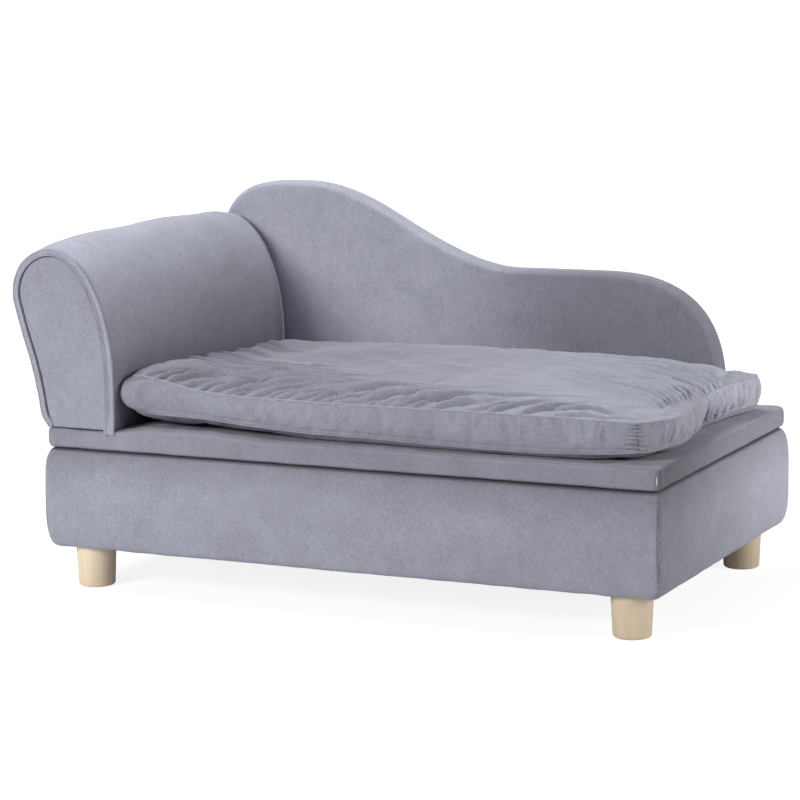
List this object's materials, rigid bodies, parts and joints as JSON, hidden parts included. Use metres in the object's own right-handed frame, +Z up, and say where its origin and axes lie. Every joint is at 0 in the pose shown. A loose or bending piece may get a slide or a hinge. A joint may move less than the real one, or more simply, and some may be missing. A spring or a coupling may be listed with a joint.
{
  "type": "dog sofa bed",
  "caption": "Small velvet sofa bed for a dog: rolled arm, humped back, loose zipped seat cushion, and a hinged top over a storage box on round wooden legs.",
  "frame": {"origin": "on the floor, under the middle of the sofa's bounding box", "axes": "+X from the arm towards the open end, +Y from the front towards the back, +Z up; the front faces -Y"},
  "size_m": [0.7692, 0.4556, 0.4241],
  "materials": {
    "velvet": "short pile grey velvet with a cool tint",
    "velvet_welt": "the same velvet folded into a sewn edge",
    "lining_cloth": "thin woven lining",
    "dust_cloth": "black spun-bonded cloth",
    "foam": "open foam padding",
    "wadding": "loose fibre filling",
    "beech": "pale turned beech, clear satin lacquer",
    "pine": "sawn pine",
    "plywood": "thin plywood and particle board",
    "fibreboard": "bent hardboard",
    "zip_cloth": "woven zip tape",
    "zip_nylon": "nylon coil",
    "zip_metal": "plain nickel finish",
    "zinc_steel": "bright zinc on steel"
  },
  "bodies": {
    "base": {"base_floor_board": "plywood", "base_front_board": "plywood", "base_back_board": "plywood", "base_left_board": "plywood", "base_right_board": "plywood", "corner_posts": "pine", "base_front_pad": "foam", "base_back_pad": "foam", "base_left_pad": "foam", "base_right_pad": "foam", "base_cover": "velvet", "storage_lining": "lining_cloth", "dust_cloth": "dust_cloth", "leg_front_left": "beech", "leg_front_right": "beech", "leg_rear_left": "beech", "leg_rear_right": "beech", "leg_bolts": "zinc_steel", "leg_inserts": "zinc_steel", "floor_screws": "zinc_steel", "corner_screws": "zinc_steel", "hinge_base_leaves": "zinc_steel", "hinge_pins": "zinc_steel", "hinge_base_screws": "zinc_steel"},
    "top": {"hinge_top_leaves": "zinc_steel", "hinge_top_screws": "zinc_steel", "seat_board": "plywood", "seat_foam": "foam", "seat_cover": "velvet", "seat_lining": "lining_cloth", "arm_front_board": "plywood", "arm_rear_board": "plywood", "arm_foot_board": "plywood", "arm_rails": "pine", "arm_bent_board": "fibreboard", "arm_foam": "foam", "arm_front_pad": "foam", "arm_rear_pad": "foam", "arm_cover": "velvet", "arm_front_cover": "velvet", "arm_rear_cover": "velvet", "arm_front_welt": "velvet_welt", "arm_rear_welt": "velvet_welt", "arm_bolts": "zinc_steel", "arm_tee_nuts": "zinc_steel", "rail_screws": "zinc_steel", "back_board": "plywood", "back_front_foam": "foam", "back_rear_foam": "foam", "back_cover": "velvet", "back_brackets": "zinc_steel", "bracket_screws": "zinc_steel"},
    "cushion": {"cushion_cover": "velvet", "cushion_filling": "wadding", "zip_tape": "zip_cloth", "zip_teeth": "zip_nylon"},
    "zip_slider": {"zip_slider": "zip_metal"},
    "zip_pull": {"zip_pull": "zip_metal"}
  },
  "joints": [
    {"name": "top_hinge", "type": "hinge", "parent": "base", "child": "top", "pos_m": [0.01663, 0.19775, 0.1603], "axis": [-1, 0, 0], "range_deg": [0, 90]},
    {"name": "cushion_lift", "type": "slide", "parent": "top", "child": "cushion", "axis": [0, 0, 1], "range_m": [0, 0.25]},
    {"name": "zip_travel", "type": "slide", "parent": "cushion", "child": "zip_slider", "axis": [1, 0, 0], "range_m": [0, 0.438]},
    {"name": "zip_pull_swing", "type": "hinge", "parent": "zip_slider", "child": "zip_pull", "pos_m": [-0.17007, 0.1692, 0.2089], "axis": [0, 0, 1], "range_deg": [0, 175]}
  ]
}
